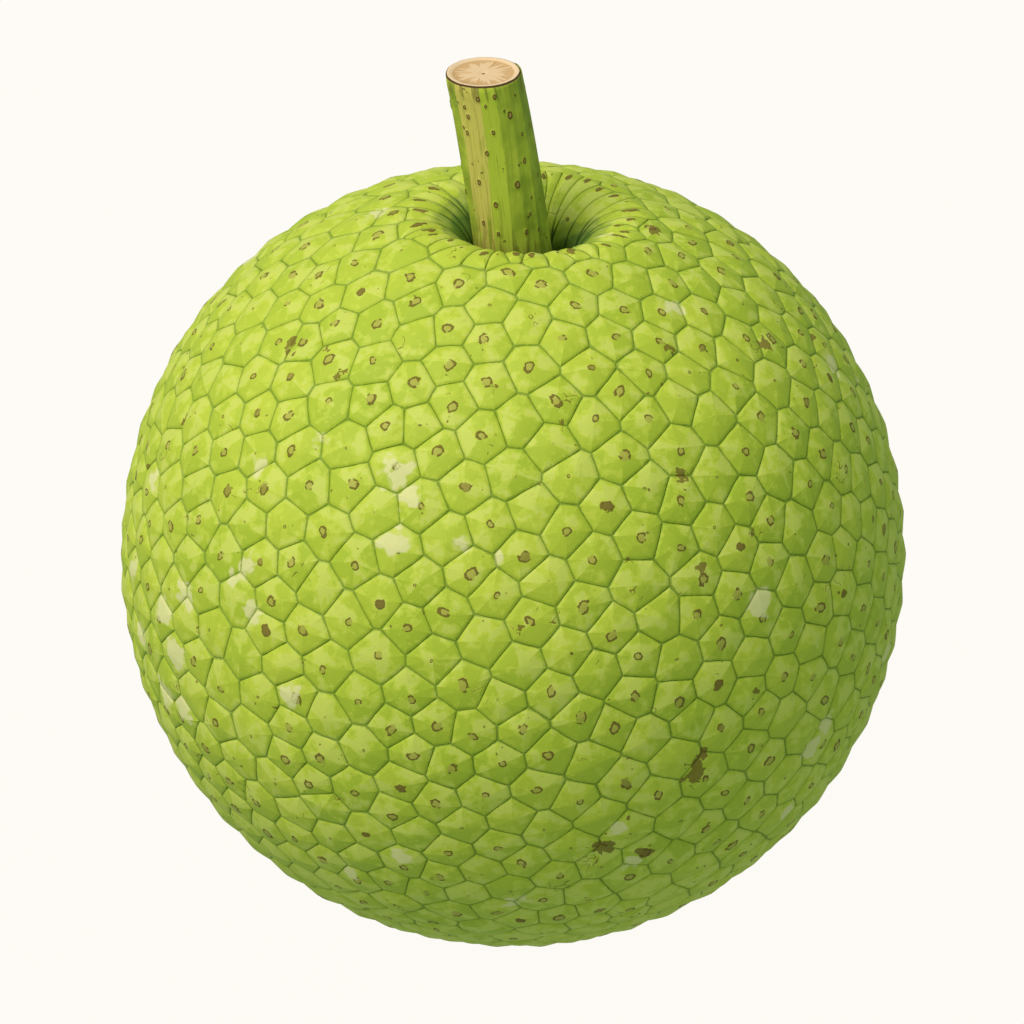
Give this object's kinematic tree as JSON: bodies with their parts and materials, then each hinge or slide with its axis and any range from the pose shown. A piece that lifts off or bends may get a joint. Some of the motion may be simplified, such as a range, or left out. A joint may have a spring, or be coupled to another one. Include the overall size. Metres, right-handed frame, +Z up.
{
  "type": "breadfruit",
  "caption": "A ripe green breadfruit with a pebbled skin of many-sided scales and a short length of cut stalk leaning from the hollow at its top.",
  "frame": {"origin": "the middle of the small flat spot under the fruit, which it rests on", "axes": "+Z up along the height of the fruit towards the stalk, which leans towards -X; -Y is the side that faces the viewer, +X is to the viewer's right"},
  "size_m": [0.1599, 0.1601, 0.1856],
  "materials": {
    "skin": "satin",
    "bark": "matte"
  },
  "bodies": {
    "root": {"fruit": "skin", "stalk": "bark"}
  },
  "joints": []
}
